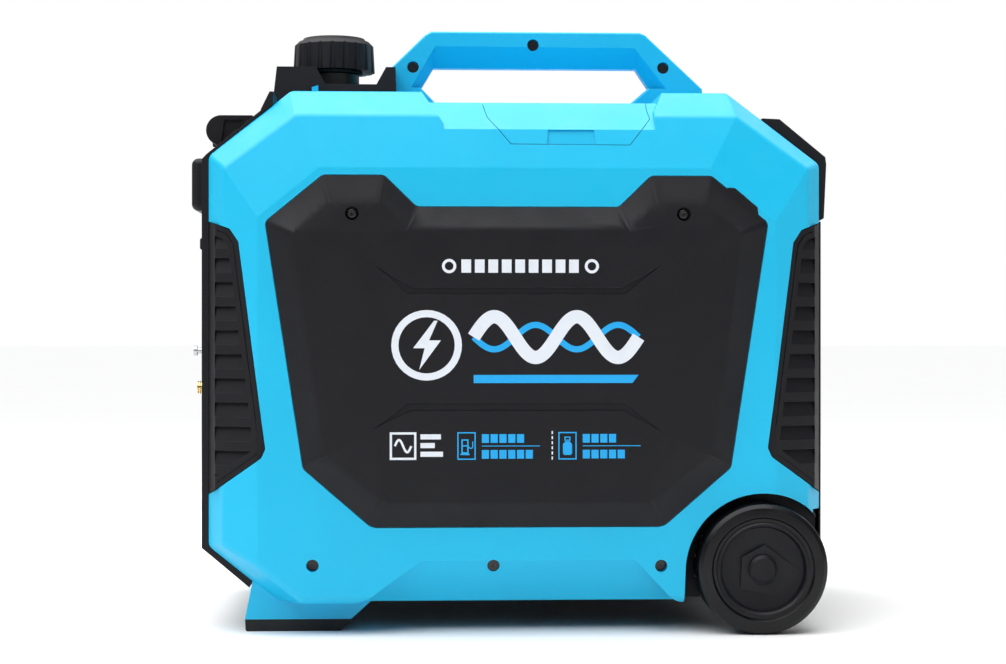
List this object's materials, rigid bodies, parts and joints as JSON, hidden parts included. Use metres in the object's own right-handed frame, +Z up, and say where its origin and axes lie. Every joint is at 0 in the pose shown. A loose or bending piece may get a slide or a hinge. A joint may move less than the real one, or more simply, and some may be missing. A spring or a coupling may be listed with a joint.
{
  "type": "inverter generator",
  "caption": "Wheeled inverter generator: faceted two-half shell, side panels, corner vents, bridge handle, filler cap, pull-out tow bail, controls at one end and exhaust grille at the other.",
  "frame": {"origin": "bottom centre of the whole machine, on the ground under the middle of its overall length and width", "axes": "+X towards the wheels and the exhaust end, -X towards the controls, -Y the left side with the spark plug hatch, +Z up"},
  "size_m": [0.648, 0.436, 0.6225],
  "materials": {
    "blue_plastic": "satin",
    "black_plastic": "matte",
    "dark_grey_plastic": "satin",
    "rubber_black": "matte",
    "tyre_rubber": "satin",
    "steel": "satin",
    "cast_aluminium": "satin",
    "cast_iron_dark": "matte",
    "copper_windings": "satin",
    "brass_fitting": "satin",
    "screen": "gloss",
    "red_button": "gloss",
    "rope": "matte",
    "tank_plastic": "satin"
  },
  "bodies": {
    "chassis": {"air_filter_box": "black_plastic", "axle": "steel", "base_tray": "black_plastic", "battery": "black_plastic", "body_screws": "steel", "carburettor": "cast_aluminium", "carry_handle_left": "blue_plastic", "carry_handle_right": "blue_plastic", "control_fittings": "dark_grey_plastic", "control_plate": "black_plastic", "cylinder_head": "cast_aluminium", "display_hood": "black_plastic", "display_panel": "screen", "engine_block": "cast_aluminium", "engine_mounts": "rubber_black", "fan_shroud": "black_plastic", "foot_pads": "rubber_black", "front_cowl": "black_plastic", "fuel_tank": "tank_plastic", "fuel_tray": "black_plastic", "gas_inlet": "brass_fitting", "ground_terminal": "steel", "inverter_module": "cast_aluminium", "muffler": "steel", "power_outlets": "dark_grey_plastic", "rear_grille": "black_plastic", "rear_shoulder_cap": "black_plastic", "service_lid_hinge": "steel", "service_panel_left": "black_plastic", "service_panel_right": "black_plastic", "side_shell_left": "blue_plastic", "side_shell_right": "blue_plastic", "stator": "copper_windings", "tow_sleeves": "dark_grey_plastic", "vent_inserts_left": "black_plastic", "vent_inserts_right": "black_plastic"},
    "wheel_left": {"wheel_tyre_left": "tyre_rubber", "wheel_hub_left": "black_plastic", "wheel_cap_left": "black_plastic"},
    "wheel_right": {"wheel_tyre_right": "tyre_rubber", "wheel_hub_right": "black_plastic", "wheel_cap_right": "black_plastic"},
    "filler_cap": {"fuel_cap": "black_plastic", "fuel_cap_gasket": "rubber_black"},
    "service_hatch": {"service_lid": "blue_plastic"},
    "tow_handle": {"tow_grip": "black_plastic", "tow_tubes": "steel"},
    "tow_release": {"tow_release_button": "black_plastic"},
    "start_key": {"start_button": "red_button"},
    "fuel_selector": {"fuel_selector_knob": "black_plastic"},
    "economy_switch": {"economy_rocker": "black_plastic"},
    "ac_breaker": {"breaker_button_ac": "dark_grey_plastic"},
    "dc_breaker": {"breaker_button_dc": "dark_grey_plastic"},
    "outlet_flap_left": {"outlet_cover_left": "black_plastic"},
    "outlet_flap_right": {"outlet_cover_right": "black_plastic"},
    "engine_rotor": {"crankshaft": "steel", "rotor": "cast_iron_dark"},
    "starter_handle": {"recoil_grip": "black_plastic", "starter_rope": "rope"},
    "starter_pulley": {"recoil_pulley": "dark_grey_plastic"}
  },
  "joints": [
    {"name": "wheel_left_spin", "type": "hinge", "parent": "chassis", "child": "wheel_left", "pos_m": [0.248, -0.1945, 0.065], "axis": [0, 1, 0], "continuous": true},
    {"name": "wheel_right_spin", "type": "hinge", "parent": "chassis", "child": "wheel_right", "pos_m": [0.248, 0.1945, 0.065], "axis": [0, 1, 0], "continuous": true},
    {"name": "filler_cap_turn", "type": "hinge", "parent": "chassis", "child": "filler_cap", "pos_m": [-0.183, 0, 0.6], "axis": [0, 0, 1], "range_deg": [0, 90]},
    {"name": "service_hatch_hinge", "type": "hinge", "parent": "chassis", "child": "service_hatch", "pos_m": [0.055, -0.108, 0.526], "axis": [-1, 0, 0], "range_deg": [0, 55]},
    {"name": "tow_handle_slide", "type": "slide", "parent": "chassis", "child": "tow_handle", "axis": [-1, 0, 0], "range_m": [0, 0.3]},
    {"name": "tow_release_push", "type": "slide", "parent": "tow_handle", "child": "tow_release", "axis": [1, 0, 0], "range_m": [0, 0.004], "stiffness_N_per_m": 300, "springref_m": -0.004},
    {"name": "start_push", "type": "slide", "parent": "chassis", "child": "start_key", "axis": [1, 0, 0], "range_m": [0, 0.0025], "stiffness_N_per_m": 400, "springref_m": -0.004},
    {"name": "fuel_selector_turn", "type": "hinge", "parent": "chassis", "child": "fuel_selector", "pos_m": [-0.309, -0.104, 0.389], "axis": [-1, 0, 0], "range_deg": [0, 90]},
    {"name": "economy_rock", "type": "hinge", "parent": "chassis", "child": "economy_switch", "pos_m": [-0.302, -0.104, 0.34], "axis": [0, -1, 0], "range_deg": [0, 14]},
    {"name": "ac_breaker_push", "type": "slide", "parent": "chassis", "child": "ac_breaker", "axis": [1, 0, 0], "range_m": [0, 0.003], "stiffness_N_per_m": 300, "springref_m": -0.004},
    {"name": "dc_breaker_push", "type": "slide", "parent": "chassis", "child": "dc_breaker", "axis": [1, 0, 0], "range_m": [0, 0.003], "stiffness_N_per_m": 300, "springref_m": -0.004},
    {"name": "outlet_flap_left_hinge", "type": "hinge", "parent": "chassis", "child": "outlet_flap_left", "pos_m": [-0.3096, -0.06, 0.188], "axis": [0, 1, 0], "range_deg": [0, 100]},
    {"name": "outlet_flap_right_hinge", "type": "hinge", "parent": "chassis", "child": "outlet_flap_right", "pos_m": [-0.3096, 0.06, 0.188], "axis": [0, 1, 0], "range_deg": [0, 100]},
    {"name": "engine_spin", "type": "hinge", "parent": "chassis", "child": "engine_rotor", "pos_m": [0.066, 0, 0.185], "axis": [0, 1, 0], "continuous": true},
    {"name": "starter_pull", "type": "slide", "parent": "chassis", "child": "starter_handle", "axis": [0, 1, 0], "range_m": [0, 0.6], "stiffness_N_per_m": 20, "springref_m": -0.3, "deforming": ["starter_rope"]},
    {"name": "starter_pulley_turn", "type": "hinge", "parent": "chassis", "child": "starter_pulley", "pos_m": [0.066, 0.166, 0.185], "axis": [0, -1, 0], "range_deg": [0, 765]}
  ],
  "couplings": [
    {"joint": "starter_pulley_turn", "follows": "starter_pull", "rad_per_m": 22.222}
  ]
}
